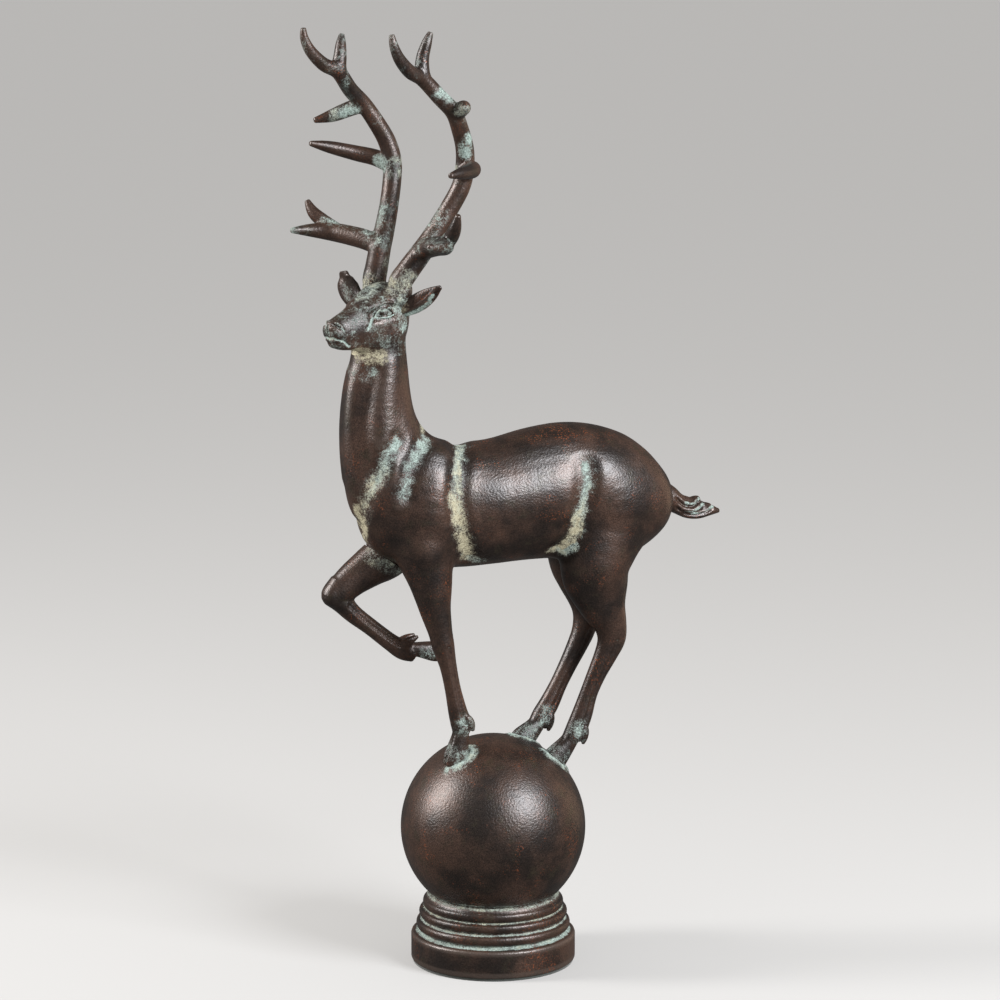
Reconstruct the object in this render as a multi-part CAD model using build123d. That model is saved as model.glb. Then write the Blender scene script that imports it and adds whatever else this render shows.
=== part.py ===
from build123d import *
import math
import os

# Stag statuette: a hollow bronze stag on a hollow ball and a stepped round plinth.
# Millimetres, +Z up. The origin is the centre of the face it rests on, the underside of the felt.
# The stag faces -X, and its left side is -Y.

# ---- driving dimensions ----
FELT_THICK = 1.5
PLINTH_RADIUS = 49.0
PLINTH_WALL = 7.0
PLINTH_TOP = 41.5          # the annular seat that the ball stands on
BALL_RADIUS = 55.0
BALL_CENTRE_Z = 82.0
BALL_WALL = 3.5
BALL_FLOOR = 4.5           # thickness of the flat ring around the ball's access hole
ACCESS_RADIUS = 24.0
TIE_ROD_RADIUS = 4.0       # M8
NUT_FLATS = 13.0
NUT_HEIGHT = 6.5
WASHER_RADIUS = 8.0
WASHER_THICK = 1.6
STUD_RADIUS = 2.0          # M4
STUD_NUT_FLATS = 7.0
STUD_NUT_HEIGHT = 3.2
STUD_WASHER_RADIUS = 4.5
STUD_WASHER_THICK = 0.8
STUD_IN_HOOF = 7.0
BODY_WALL = 4.0
HEAD_YAW = 25.0            # degrees that the head is turned to the stag's left
HEAD_PITCH = 8.0           # degrees that the face drops
HEAD_ORIGIN = (-65.0, 0.0, 411.0)   # the middle of the skull between the two antler roots
NECK_JOINT_Z = 370.0
LEG_JOINT_Z = 236.0
TIP_RADIUS = 1.6           # blunt end of an antler tine

UP = Vector(0, 0, 1)
SIDEWAYS = Vector(0, 1, 0)


def unit(vector):
    """The vector at length one."""
    return vector * (1.0 / vector.length)


def directions(centres):
    """The way a line through the centres runs at each of them."""
    last = len(centres) - 1
    ways = []
    for index in range(len(centres)):
        before = centres[max(index - 1, 0)]
        after = centres[min(index + 1, last)]
        ways.append(unit(after - before))
    return ways


def limb(stations, across=SIDEWAYS):
    """A solid through ellipses square to its centre line.

    Each station is (x, y, z, half depth, half width), and the width runs along across.
    """
    centres = [Vector(x, y, z) for x, y, z, _, _ in stations]
    sections = []
    for centre, way, station in zip(centres, directions(centres), stations):
        sideways = across - way * across.dot(way)
        plane = Plane(origin=centre, x_dir=sideways, z_dir=way)
        sections.append(plane * Ellipse(station[4], station[3]))
    return loft(sections)


def tine(points, radii, across=Vector(1, 0, 0)):
    """A round tapering rod through the points."""
    stations = [(*point, radius, radius) for point, radius in zip(points, radii)]
    return limb(stations, across)


def slab(stations):
    """A solid through ellipses that each span a point on the back and a point on the belly.

    Each station is (back x, back z, belly x, belly z, half width).
    """
    sections = []
    for back_x, back_z, belly_x, belly_z, half_width in stations:
        back = Vector(back_x, 0, back_z)
        belly = Vector(belly_x, 0, belly_z)
        rise = unit(back - belly)
        plane = Plane(origin=(back + belly) * 0.5, x_dir=SIDEWAYS, z_dir=SIDEWAYS.cross(rise))
        sections.append(plane * Ellipse(half_width, (back - belly).length / 2))
    return loft(sections)


def rod(start, end, radius):
    """A round bar from one point to another."""
    start = Vector(start)
    end = Vector(end)
    plane = Plane(origin=start, z_dir=unit(end - start))
    return extrude(plane * Circle(radius), (end - start).length)


def ring(plane, outer, inner, height):
    """A flat washer that stands on the plane."""
    return extrude(plane * (Circle(outer) - Circle(inner)), height)


def nut(plane, flats, bore, height):
    """A hexagon nut that stands on the plane."""
    blank = RegularPolygon(flats / 2, 6, major_radius=False)
    return extrude(plane * (blank - Circle(bore)), height)


def below(height):
    """Everything below a level."""
    return Pos(0, 0, height - 500) * Box(1000, 1000, 1000)


def write(name, shape):
    """Write one sub-part to its own file."""
    shape.label = name
    export_step(shape, f"parts/{name}.step")


os.makedirs("parts", exist_ok=True)

# ---- plinth: a stepped foot with three rings, cored from underneath ----
DRUM_TOP = 18.0
outline = [
    (0, FELT_THICK),
    (PLINTH_RADIUS - 0.6, FELT_THICK),
    (PLINTH_RADIUS, FELT_THICK + 0.6),
    (PLINTH_RADIUS, DRUM_TOP - 1.2),
    (PLINTH_RADIUS - 1.2, DRUM_TOP),
    (44.5, DRUM_TOP + 0.4),
    (44.5, 20.2),
]
with BuildPart() as turned:
    with BuildSketch(Plane.XZ):
        with BuildLine():
            Polyline(*outline)
            ThreePointArc((44.5, 20.2), (45.9, 23.0), (44.0, 25.9))
            Line((44.0, 25.9), (42.8, 26.4))
            Line((42.8, 26.4), (42.8, 27.4))
            ThreePointArc((42.8, 27.4), (44.2, 29.9), (42.6, 32.4))
            Line((42.6, 32.4), (41.0, 33.0))
            ThreePointArc((41.0, 33.0), (42.0, 34.6), (39.8, 40.2))
            Line((39.8, 40.2), (38.6, PLINTH_TOP))
            Polyline((38.6, PLINTH_TOP), (0, PLINTH_TOP), (0, FELT_THICK))
        make_face()
    revolve(axis=Axis.Z)
WEB_UNDERSIDE = 34.0
core_low = Pos(0, 0, FELT_THICK) * Cylinder(
    PLINTH_RADIUS - PLINTH_WALL, DRUM_TOP - FELT_THICK - 2, align=(Align.CENTER, Align.CENTER, Align.MIN)
)
core_high = Pos(0, 0, FELT_THICK) * Cylinder(
    36.0, WEB_UNDERSIDE - FELT_THICK, align=(Align.CENTER, Align.CENTER, Align.MIN)
)
SPIGOT_HEIGHT = 3.0
spigot = Pos(0, 0, PLINTH_TOP - 1) * Cylinder(
    ACCESS_RADIUS - 0.1, SPIGOT_HEIGHT + 1, align=(Align.CENTER, Align.CENTER, Align.MIN)
)
tie_rod = rod((0, 0, 24), (0, 0, 61), TIE_ROD_RADIUS)
write("plinth", turned.part + spigot - core_low - core_high - tie_rod)

felt = Cylinder(PLINTH_RADIUS - 1.0, FELT_THICK, align=(Align.CENTER, Align.CENTER, Align.MIN))
write("felt_pad", felt)

# ---- ball: a shell with a flat ring around its access hole ----
sphere = Pos(0, 0, BALL_CENTRE_Z) * Sphere(BALL_RADIUS)
hollow = Pos(0, 0, BALL_CENTRE_Z) * Sphere(BALL_RADIUS - BALL_WALL)
hollow -= below(PLINTH_TOP + BALL_FLOOR)
access = rod((0, 0, 0), (0, 0, BALL_CENTRE_Z), ACCESS_RADIUS)
ball = sphere - below(PLINTH_TOP) - hollow - access

BAR_BOTTOM = PLINTH_TOP + BALL_FLOOR
BAR_THICK = 5.0
bar = Pos(0, 0, BAR_BOTTOM) * Box(64, 16, BAR_THICK, align=(Align.CENTER, Align.CENTER, Align.MIN))
write("bridge_bar", bar - tie_rod)
write("tie_rod", tie_rod)
above_bar = Plane.XY.offset(BAR_BOTTOM + BAR_THICK)
under_web = Plane.XY.offset(WEB_UNDERSIDE - WASHER_THICK)
washers = [
    ring(above_bar, WASHER_RADIUS, TIE_ROD_RADIUS, WASHER_THICK),
    ring(under_web, WASHER_RADIUS, TIE_ROD_RADIUS, WASHER_THICK),
]
write("tie_rod_washers", Compound(children=washers))
nuts = [
    nut(above_bar.offset(WASHER_THICK), NUT_FLATS, TIE_ROD_RADIUS, NUT_HEIGHT),
    nut(under_web.offset(-NUT_HEIGHT), NUT_FLATS, TIE_ROD_RADIUS, NUT_HEIGHT),
]
write("tie_rod_nuts", Compound(children=nuts))

# ---- the stag's trunk and neck, from the rump to the throat ----
TRUNK = [
    (110.5, 283, 109.5, 262, 10.5),
    (108.0, 289, 105.5, 256, 16.5),
    (102.5, 296.5, 99.5, 250.5, 22.0),
    (94.0, 305.5, 91.5, 245, 26.0),
    (81.0, 314.5, 82.0, 240.5, 29.0),
    (62.0, 321, 66.0, 240, 30.5),
    (42.0, 323, 46.0, 242, 30.0),
    (20.0, 320.5, 22.0, 242.5, 29.5),
    (-3.0, 315.5, -2.0, 241.5, 29.5),
    (-22.0, 315.5, -24.0, 241, 29.0),
    (-36.0, 319, -50.0, 243.5, 28.0),
    (-43.5, 325, -74.0, 254.0, 26.0),
    (-48.0, 332, -86.5, 275, 23.5),
    (-50.5, 340, -91.5, 300, 21.0),
    (-52.0, 350, -92.8, 325, 18.5),
    (-53.0, 361, -91.0, 347, 16.5),
    (-54.0, 372, -87.5, 364, 14.5),
    (-54.5, 386, -84.0, 383, 13.5),
]
THROAT = 15                # the station where the neck's own loft starts
trunk = slab(TRUNK[:THROAT + 1]) + slab(TRUNK[THROAT:])
INNER = []
for back_x, back_z, belly_x, belly_z, half_width in TRUNK[3:15]:
    back = Vector(back_x, 0, back_z)
    belly = Vector(belly_x, 0, belly_z)
    inset = unit(back - belly) * BODY_WALL
    back -= inset
    belly += inset
    INNER.append((back.X, back.Z, belly.X, belly.Z, half_width - BODY_WALL))
trunk_core = slab(INNER)

# ---- legs, each from inside the body down to the hoof ----
LEFT_FORELEG = [
    (-50, -12, 266, 20.0, 13.0),
    (-47, -13, 252, 17.0, 13.0),
    (-44, -13.5, 239, 13.8, 11.5),
    (-42.4, -14, 229, 11.5, 9.8),
    (-40.8, -14, 219, 9.4, 8.2),
    (-37.6, -14, 205, 7.2, 6.6),
    (-36.0, -14, 197, 6.8, 6.4),
    (-33.0, -14, 185, 5.2, 5.0),
    (-30.0, -13.5, 171, 4.9, 4.7),
    (-26.8, -13, 157, 5.8, 5.2),
    (-24.6, -13, 149, 6.4, 5.6),
    (-24.8, -12.5, 142, 4.8, 4.8),
    (-25.6, -12, 133, 6.2, 5.4),
    (-25.5, -11, 122, 8.2, 6.4),
]
RIGHT_UPPER_ARM = [
    (-50, 12, 262, 17.0, 12.5),
    (-61, 13, 248.5, 14.5, 12.0),
    (-72, 13.5, 241.5, 12.0, 10.5),
    (-82, 14, 235, 10.2, 9.0),
    (-90, 14, 228.5, 8.8, 8.0),
    (-97, 14, 223, 6.5, 6.5),
]
RIGHT_CANNON = [
    (-96, 14, 226, 6.0, 6.0),
    (-90, 14, 221, 7.4, 7.2),
    (-82, 14, 214, 5.8, 6.2),
    (-71.5, 14, 205.5, 5.0, 5.0),
    (-60.0, 14, 196, 5.2, 4.8),
    (-51.5, 14, 190, 5.8, 5.2),
    (-43.5, 14, 186.5, 4.4, 4.6),
    (-36.0, 14, 185.5, 4.9, 5.0),
    (-25.0, 14, 183, 3.2, 4.4),
]
LEFT_HIND_LEG = [
    (67, -14, 266, 29.0, 14.0),
    (61.5, -14, 250, 24.5, 14.5),
    (59, -14, 236, 21.2, 14.0),
    (61.5, -13.5, 225, 18.8, 12.5),
    (65, -13, 213, 14.2, 10.2),
    (69.5, -12.5, 202, 10.2, 8.0),
    (70.5, -12, 193, 8.8, 6.8),
    (67.3, -11.5, 184, 7.2, 6.0),
    (61.5, -11, 172, 5.9, 5.2),
    (56.5, -10.5, 160, 5.5, 4.9),
    (52.5, -10.5, 148, 6.4, 5.4),
    (48.5, -10.5, 139, 7.0, 5.8),
    (42.0, -10.5, 132, 5.2, 5.0),
    (36.5, -10, 124, 7.2, 6.0),
    (34.0, -9.5, 116, 8.2, 6.4),
]
RIGHT_HIND_LEG = [
    (66, 14, 266, 29.0, 14.0),
    (61.5, 14, 250, 24.0, 14.5),
    (60, 14, 236, 19.0, 14.0),
    (61.5, 13.5, 225, 15.2, 12.0),
    (63.5, 13, 214, 11.4, 9.8),
    (64.0, 12.5, 204, 8.4, 7.8),
    (62.0, 12, 194, 7.2, 6.6),
    (57.5, 12, 184, 6.3, 6.0),
    (51.5, 11.5, 173, 5.6, 5.2),
    (45.5, 11, 162, 5.4, 4.9),
    (39.5, 10.5, 151, 6.2, 5.4),
    (34.5, 10, 144, 6.8, 5.8),
    (28.5, 9, 139, 5.2, 5.0),
    (23.5, 8, 132.5, 6.8, 6.0),
    (21.5, 7.5, 124, 7.8, 6.4),
]
# The raised leg's joint face slopes with the upper arm; the other three are level.
RAISED_JOINT = Plane(origin=(-63, 0, 246.5), x_dir=SIDEWAYS, z_dir=(0.59, 0, 0.81))
level_joint = below(LEG_JOINT_Z)
raised_joint = RAISED_JOINT * below(0)

legs = {}
shoulders = []
for name, whole, under in (
    ("left_foreleg", limb(LEFT_FORELEG), level_joint),
    ("right_foreleg", limb(RIGHT_UPPER_ARM) + limb(RIGHT_CANNON), raised_joint),
    ("left_hind_leg", limb(LEFT_HIND_LEG), level_joint),
    ("right_hind_leg", limb(RIGHT_HIND_LEG), level_joint),
):
    shoulders.append(whole - under)
    legs[name] = (whole & under) - trunk - sphere

# ---- leg pins: one dowel across each leg's joint ----
PIN_RADIUS = 3.0
leg_pins = {
    "left_foreleg": rod((-43, -13.5, 226), (-44.5, -13.5, 246), PIN_RADIUS),
    "right_foreleg": rod((-69, 13, 239.5), (-57, 13, 254), PIN_RADIUS),
    "left_hind_leg": rod((61, -14, 226), (60.5, -14, 246), PIN_RADIUS),
    "right_hind_leg": rod((59, 14, 226), (58.5, 14, 246), PIN_RADIUS),
}
write("leg_pins", Compound(children=list(leg_pins.values())))

# ---- hoof studs: square to the ball, with a washer and a nut inside it ----
FOOTPRINTS = {
    "left_foreleg": (-25.5, -12.0, 48.0),
    "left_hind_leg": (36.0, -10.0, 40.5),
    "right_hind_leg": (23.5, 8.0, 49.5),
}
centre = Vector(0, 0, BALL_CENTRE_Z)
studs = []
stud_nuts = []
stud_washers = []
for name, footprint in FOOTPRINTS.items():
    outward = unit(Vector(*footprint))
    seat = BALL_RADIUS - BALL_WALL - 0.3 - STUD_WASHER_THICK
    inner_end = centre + outward * (seat - STUD_NUT_HEIGHT - 1.5)
    outer_end = centre + outward * (BALL_RADIUS + STUD_IN_HOOF)
    stud = rod(inner_end, outer_end, STUD_RADIUS)
    washer_plane = Plane(origin=centre + outward * seat, z_dir=outward)
    nut_plane = washer_plane.offset(-STUD_NUT_HEIGHT)
    stud_washers.append(ring(washer_plane, STUD_WASHER_RADIUS, STUD_RADIUS, STUD_WASHER_THICK))
    stud_nuts.append(nut(nut_plane, STUD_NUT_FLATS, STUD_RADIUS, STUD_NUT_HEIGHT))
    legs[name] -= stud
    ball -= stud
    studs.append(stud)
write("ball", ball)
write("hoof_studs", Compound(children=studs))
write("hoof_nuts", Compound(children=stud_nuts))
write("hoof_washers", Compound(children=stud_washers))
for name, leg in legs.items():
    write(name, leg - leg_pins[name])

# ---- head frame: x towards the nose, y to the stag's left, z up ----
yaw = math.radians(HEAD_YAW)
pitch = math.radians(HEAD_PITCH)
forward = Vector(-math.cos(yaw) * math.cos(pitch), -math.sin(yaw) * math.cos(pitch), -math.sin(pitch))
to_left = Vector(math.sin(yaw), -math.cos(yaw), 0)
HEAD = Plane(origin=HEAD_ORIGIN, x_dir=forward, z_dir=forward.cross(to_left))

# Each skull station is (distance forward, top, bottom, half width).
SKULL = [
    (-8.5, -8, -26, 7.0),
    (-6.5, -4.5, -31, 9.4),
    (-2, -0.5, -38, 12.2),
    (6, 1.5, -41, 14.4),
    (15, 0.5, -39, 13.6),
    (24, -3.5, -36, 11.2),
    (33, -7.8, -32.5, 8.6),
    (42, -10.3, -30, 7.2),
    (46.5, -11.8, -27, 6.2),
    (49, -14.5, -22, 3.6),
]


def skull_loft(stations, wall):
    """The skull's outer shape, or with a wall the core inside it."""
    sections = []
    for along, top, bottom, half_width in stations:
        plane = Plane(origin=(along, 0, (top + bottom) / 2), x_dir=(0, 1, 0), z_dir=(1, 0, 0))
        sections.append(plane * Ellipse(half_width - wall, (top - bottom) / 2 - wall))
    return HEAD * loft(sections)


neck_cut = below(NECK_JOINT_Z)
neck_pin = rod((-70, 0, 344), (-70, -1, 381), 6.0)
skull = skull_loft(SKULL, 0)
skull_core = skull_loft([(-4, 0, -24, 12), (8, 0, -25, 13), (20, -4, -26, 11), (30, -8, -27, 8.5)], 4.0)
head = skull + (trunk - neck_cut) - (trunk & neck_cut)

# ---- antlers, drawn in the head frame for the left side; the right is the mirror of it ----
BEAM = [
    (0, 10.4, -9), (-0.3, 10.7, 0), (-5.2, 12.9, 6.4), (-13.2, 17, 15.6), (-20.6, 20, 23.8),
    (-30.5, 24.3, 36.6), (-38.9, 28.5, 49.4), (-42.3, 30.2, 60.4), (-41.6, 32.5, 72.3),
    (-36.7, 35.3, 85.1), (-30.9, 37.5, 96), (-21.9, 37.2, 106.1), (-12.2, 35, 118.5),
    (-2.3, 35.7, 124.8), (5.4, 36.6, 133.6), (8.9, 37, 141.8), (9.3, 36.6, 148.2),
]
BEAM_RADII = [
    6.2, 6.9, 6.7, 6.4, 6.0, 5.6, 5.5, 5.5, 5.3, 5.0, 4.8, 4.6, 4.4, 4.0, 3.4, 2.6, TIP_RADIUS,
]
TOP_TINES = {
    1: [(-16, 35.4, 113.4), (-12.7, 34.9, 120.5), (-14, 34.6, 129.5), (-17.2, 36, 138), (-20.2, 37.2, 144)],
    -1: [(-16, 35.4, 113.4), (-13, 34.9, 120), (-14.7, 34.6, 127.6), (-17.6, 36, 134), (-20.2, 37.2, 139)],
}
TOP_TINE_RADII = [4.0, 4.4, 3.8, 3.0, TIP_RADIUS]
SIDE_TINES = {
    1: [(-41.5, 29, 58), (-38.8, 39.5, 61), (-31, 47, 62.5), (-17.1, 54, 64.7), (-4.7, 57, 66)],
    -1: [(-41.5, 29, 57), (-39, 40, 61.7), (-31.2, 48.5, 65.6), (-17.1, 55.5, 71.8), (-4.7, 58, 76.5)],
}
SIDE_TINE_RADII = [5.0, 4.9, 4.6, 3.6, TIP_RADIUS]
UPPER_TINES = {
    1: [(-32.6, 36, 93.5), (-32.2, 43, 97.6), (-29.4, 48.5, 99.6), (-27, 52, 99.6)],
    -1: [(-32.6, 36, 96), (-25.5, 44, 93.4), (-17.3, 50, 90.8), (-7.5, 55.5, 89.5)],
}
UPPER_TINE_RADII = [4.6, 4.5, 3.8, TIP_RADIUS]
BROW_TINES = {
    1: [
        (-13.5, 16.5, 16.5), (-11.4, 26, 20), (-8.2, 37, 22.8), (-4.5, 47, 24.6), (4.8, 53.5, 27.0),
        (17.5, 57, 29.6),
    ],
    -1: [
        (-13.5, 16.5, 16.5), (-11.4, 27, 20.2), (-8.2, 39, 22.8), (-4.5, 49, 24.6), (4.8, 55, 27.0),
        (17.5, 57.9, 29.6),
    ],
}
BROW_TINE_RADII = [5.6, 5.9, 5.7, 5.3, 3.9, TIP_RADIUS]
BROW_FORKS = {
    1: [(-8, 43, 24.6), (-6.5, 50.5, 29.4), (-4.5, 57, 36), (-4, 61.2, 44)],
    -1: [(-8, 46, 24.6), (-6, 54, 29.2), (-3.5, 60.5, 35.4), (-2.8, 64.2, 42.6)],
}
BROW_FORK_RADII = [4.2, 4.3, 3.6, TIP_RADIUS]


def antler(side):
    """One antler in the head frame: side is 1 for the left one and -1 for the right one."""
    def mirrored(points):
        return [(x, y * side, z) for x, y, z in points]

    shape = tine(mirrored(BEAM), BEAM_RADII)
    shape += tine(mirrored(TOP_TINES[side]), TOP_TINE_RADII)
    shape += tine(mirrored(SIDE_TINES[side]), SIDE_TINE_RADII, Vector(0, 0, 1))
    shape += tine(mirrored(UPPER_TINES[side]), UPPER_TINE_RADII, Vector(0, 0, 1))
    shape += tine(mirrored(BROW_TINES[side]), BROW_TINE_RADII, Vector(0, 0, 1))
    shape += tine(mirrored(BROW_FORKS[side]), BROW_FORK_RADII)
    return HEAD * shape


# The left ear is laid back; the right one stands wider and rounder.
EARS = {
    1: [
        (2, 9, -17, 2.6, 3.5), (0, 14, -14.4, 2.8, 4.6), (-2.5, 19, -11.8, 2.6, 5.4),
        (-5, 25, -8.4, 2.2, 5.2), (-7.5, 30.5, -4.8, 1.6, 3.6), (-9.6, 34.8, -1.6, 0.9, 1.2),
    ],
    -1: [
        (3, 9, -15.5, 2.6, 5.0), (3.4, 16, -13.2, 2.8, 6.6), (4, 23, -10.2, 2.6, 7.4),
        (4, 29.5, -6, 2.2, 7.2), (3.4, 34, -1.6, 1.7, 5.6), (2.5, 37, 2.4, 1.0, 2.6),
    ],
}


def ear(side):
    """One ear in the head frame, with the hollow that faces forwards."""
    leaf = limb([(x, y * side, z, depth, width) for x, y, z, depth, width in EARS[side]], Vector(0, 0, 1))
    bowl = [(x + 2.6, y * side, z - 0.5, 1.6, 0.62 * width) for x, y, z, _, width in EARS[side][2:5]]
    scoop = limb(bowl, Vector(0, 0, 1))
    return HEAD * (leaf - scoop)


antler_pins = []
for name, side in (("left", 1), ("right", -1)):
    horn = antler(side) - head
    pin = HEAD * rod((-1, 10.6 * side, -7), (-4, 12.5 * side, 9), 2.2)
    antler_pins.append(pin)
    write(f"{name}_antler", horn - pin)
    write(f"{name}_ear", ear(side) - head - horn - pin)
write("antler_pins", Compound(children=antler_pins))
head = head - skull_core - neck_pin
for pin in antler_pins:
    head -= pin
write("head", head)
write("neck_pin", neck_pin)

# ---- tail: a short curled casting doweled to the rump ----
TAIL = [
    (104, 0, 276.5, 9.5, 6.5),
    (111, 0, 274.3, 9.2, 6.5),
    (117, 0, 270.3, 7.6, 6.2),
    (124, 0, 267, 7.4, 5.6),
    (131, 0, 265.3, 6.0, 4.8),
    (138, 0, 264.3, 3.4, 3.6),
    (144, 0, 263.5, 1.2, 1.6),
]
CURL = [
    (124, 0, 268.5, 3.6, 3.2),
    (130, 0, 270, 3.0, 2.8),
    (135, 0, 269, 2.2, 2.2),
    (139.5, 0, 267, 0.9, 1.1),
]
tail_pin = rod((101, 0, 274), (121, 0, 270), 2.5)
tail = limb(TAIL) + limb(CURL) - trunk - tail_pin
write("tail", tail)
write("tail_pin", tail_pin)

# ---- torso: trunk and neck below the joint, with the four shoulders, hollow inside ----
torso = trunk & neck_cut
for shoulder in shoulders:
    torso += shoulder & below(NECK_JOINT_Z)
torso -= trunk_core
torso -= neck_pin
torso -= tail_pin
for pin in leg_pins.values():
    torso -= pin
write("torso", torso)
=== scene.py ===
import math

import bmesh
import bpy
import numpy as np
from mathutils import Matrix, Vector


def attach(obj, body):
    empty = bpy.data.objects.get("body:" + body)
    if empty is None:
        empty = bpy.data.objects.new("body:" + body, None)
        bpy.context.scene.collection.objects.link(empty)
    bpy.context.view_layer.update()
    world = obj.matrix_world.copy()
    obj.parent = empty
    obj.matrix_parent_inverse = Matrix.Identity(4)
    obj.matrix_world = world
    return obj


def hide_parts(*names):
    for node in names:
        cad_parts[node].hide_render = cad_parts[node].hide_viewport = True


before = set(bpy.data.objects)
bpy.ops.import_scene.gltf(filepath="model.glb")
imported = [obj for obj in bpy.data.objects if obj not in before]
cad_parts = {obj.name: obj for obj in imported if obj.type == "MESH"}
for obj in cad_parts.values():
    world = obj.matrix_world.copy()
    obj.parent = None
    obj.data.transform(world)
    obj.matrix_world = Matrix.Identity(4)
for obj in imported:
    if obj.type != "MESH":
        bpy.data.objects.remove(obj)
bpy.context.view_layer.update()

# ---- camera: a long lens a little above the stag's belly, off its left front quarter ----
# It aims at the middle of the statuette and turns with nothing.
AIM = Vector((0.0039, -0.0014, 0.2792))
AZIMUTH = math.radians(-20)
ELEVATION = math.radians(10.7)
DISTANCE = 2.4
FOCAL_LENGTH = 147.2
SENSOR_WIDTH = 36


def seen_from(azimuth, elevation):
    """The direction from the statuette to something at these angles round it and above it."""
    level = math.cos(elevation)
    return Vector((math.sin(azimuth) * level, -math.cos(azimuth) * level, math.sin(elevation)))


camera = bpy.data.objects.new("camera", bpy.data.cameras.new("camera"))
bpy.context.collection.objects.link(camera)
toward_camera = seen_from(AZIMUTH, ELEVATION)
camera.location = AIM + toward_camera * DISTANCE
camera.rotation_euler = toward_camera.to_track_quat("Z", "Y").to_euler()
camera.data.lens = FOCAL_LENGTH
camera.data.sensor_width = SENSOR_WIDTH
bpy.context.scene.camera = camera

# ---- studio: a pale floor, a pale surround and three soft panel lights ----
# The left light skims the front of the neck and the ball; the right one fills the flank,
# and a weak warm one behind touches the edges of the rump and the tail.
RIGHTWARD = Vector((math.cos(AZIMUTH), math.sin(AZIMUTH), 0))
UPWARD = toward_camera.cross(RIGHTWARD)
LAMP_DISTANCE = 1.6


def soft_light(name, right, up, near, width, height, power, tint):
    """An upright panel light in the direction given across, up and towards the camera."""
    light = bpy.data.lights.new(name, "AREA")
    light.shape = "RECTANGLE"
    light.size = width
    light.size_y = height
    light.energy = power
    light.color = tint
    lamp = bpy.data.objects.new(name, light)
    bpy.context.collection.objects.link(lamp)
    way = (RIGHTWARD * right + UPWARD * up + toward_camera * near).normalized()
    lamp.location = AIM + way * LAMP_DISTANCE
    lamp.rotation_euler = way.to_track_quat("Z", "Y").to_euler()


soft_light("left_light", -0.88, 0.42, 0.12, 0.36, 1.00, 40, (1.0, 0.98, 0.97))
soft_light("right_light", 0.66, 0.36, 0.64, 0.66, 0.66, 55, (0.94, 0.96, 1.0))
soft_light("back_light", 0.80, 0.10, -0.55, 0.30, 1.00, 1.5, (1.0, 0.72, 0.48))

# The surround and the floor look pale, but the polished skin mirrors them only faintly.
SURROUND = 1.05
SURROUND_MIRRORED = 0.16
world = bpy.data.worlds.new("surround")
bpy.context.scene.world = world
world.use_nodes = True
surround = world.node_tree.nodes["Background"]
surround.inputs["Color"].default_value = (0.86, 0.84, 0.82, 1)
light_path = world.node_tree.nodes.new("ShaderNodeLightPath")
strength = world.node_tree.nodes.new("ShaderNodeMapRange")
strength.inputs["To Min"].default_value = SURROUND
strength.inputs["To Max"].default_value = SURROUND_MIRRORED
world.node_tree.links.new(light_path.outputs["Is Glossy Ray"], strength.inputs["Value"])
world.node_tree.links.new(strength.outputs["Result"], surround.inputs["Strength"])
bpy.context.scene.view_settings.view_transform = "Standard"

FLOOR_RADIUS = 9.0
bm = bmesh.new()
bmesh.ops.create_circle(bm, cap_ends=True, segments=96, radius=FLOOR_RADIUS)
floor_mesh = bpy.data.meshes.new("floor")
bm.to_mesh(floor_mesh)
bm.free()
floor = bpy.data.objects.new("floor", floor_mesh)
bpy.context.collection.objects.link(floor)
floor_paint = bpy.data.materials.new("floor_paint")
floor_paint.use_nodes = True
paint = floor_paint.node_tree.nodes["Principled BSDF"]
paint.inputs["Base Color"].default_value = (0.20, 0.198, 0.193, 1)
paint.inputs["Roughness"].default_value = 0.9
paint.inputs["Emission Color"].default_value = (1.0, 0.985, 0.97, 1)
paint.inputs["Emission Strength"].default_value = 0.31
floor_mesh.materials.append(floor_paint)
floor.visible_glossy = False

# ---- plinth: a turned bronze foot with a plain drum, two rounded rings and a collar ----
# It is cast hollow, turned on a lathe and patinated with the rest; its rim takes the ball.
# The patina is brown over black, rubbed on the ridges, with verdigris left in the hollows.
METRES = 0.001
SOFT_BROWN = (0.048, 0.026, 0.017, 1)
NEAR_BLACK = (0.012, 0.0076, 0.0056, 1)
OLIVE = (0.026, 0.021, 0.011, 1)
RUST = (0.19, 0.050, 0.015, 1)
RUBBED = (0.085, 0.062, 0.050, 1)
GREEN_CRUST = (0.075, 0.110, 0.092, 1)
PALE_GREEN = (0.255, 0.315, 0.285, 1)
CREAM_CRUST = (0.31, 0.285, 0.19, 1)
OCHRE_CRUST = (0.12, 0.094, 0.050, 1)


def node(tree, kind, inputs=None, **settings):
    """A shader node with its settings, its plain values and its links from other nodes."""
    made = tree.nodes.new(kind)
    for setting, value in settings.items():
        setattr(made, setting, value)
    for socket, value in (inputs or {}).items():
        if isinstance(value, bpy.types.NodeSocket):
            tree.links.new(value, made.inputs[socket])
        else:
            made.inputs[socket].default_value = value
    return made


def maths(tree, operation, first, second=0.0, clamp=False):
    """One sum on two values, and what it gives."""
    inputs = {0: first, 1: second}
    return node(tree, "ShaderNodeMath", inputs, operation=operation, use_clamp=clamp).outputs[0]


def noise(tree, scale, detail=3.0, rough=0.55):
    """A cloudy value of about this many lumps to the metre, on the piece's own coordinates."""
    place = node(tree, "ShaderNodeTexCoord").outputs["Object"]
    inputs = {"Vector": place, "Scale": scale, "Detail": detail, "Roughness": rough}
    return node(tree, "ShaderNodeTexNoise", inputs).outputs["Fac"]


def between(tree, value, low, high):
    """The value stretched so that low gives 0 and high gives 1, with soft ends."""
    inputs = {"Value": value, "From Min": low, "From Max": high}
    return node(tree, "ShaderNodeMapRange", inputs, interpolation_type="SMOOTHSTEP").outputs[0]


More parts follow.
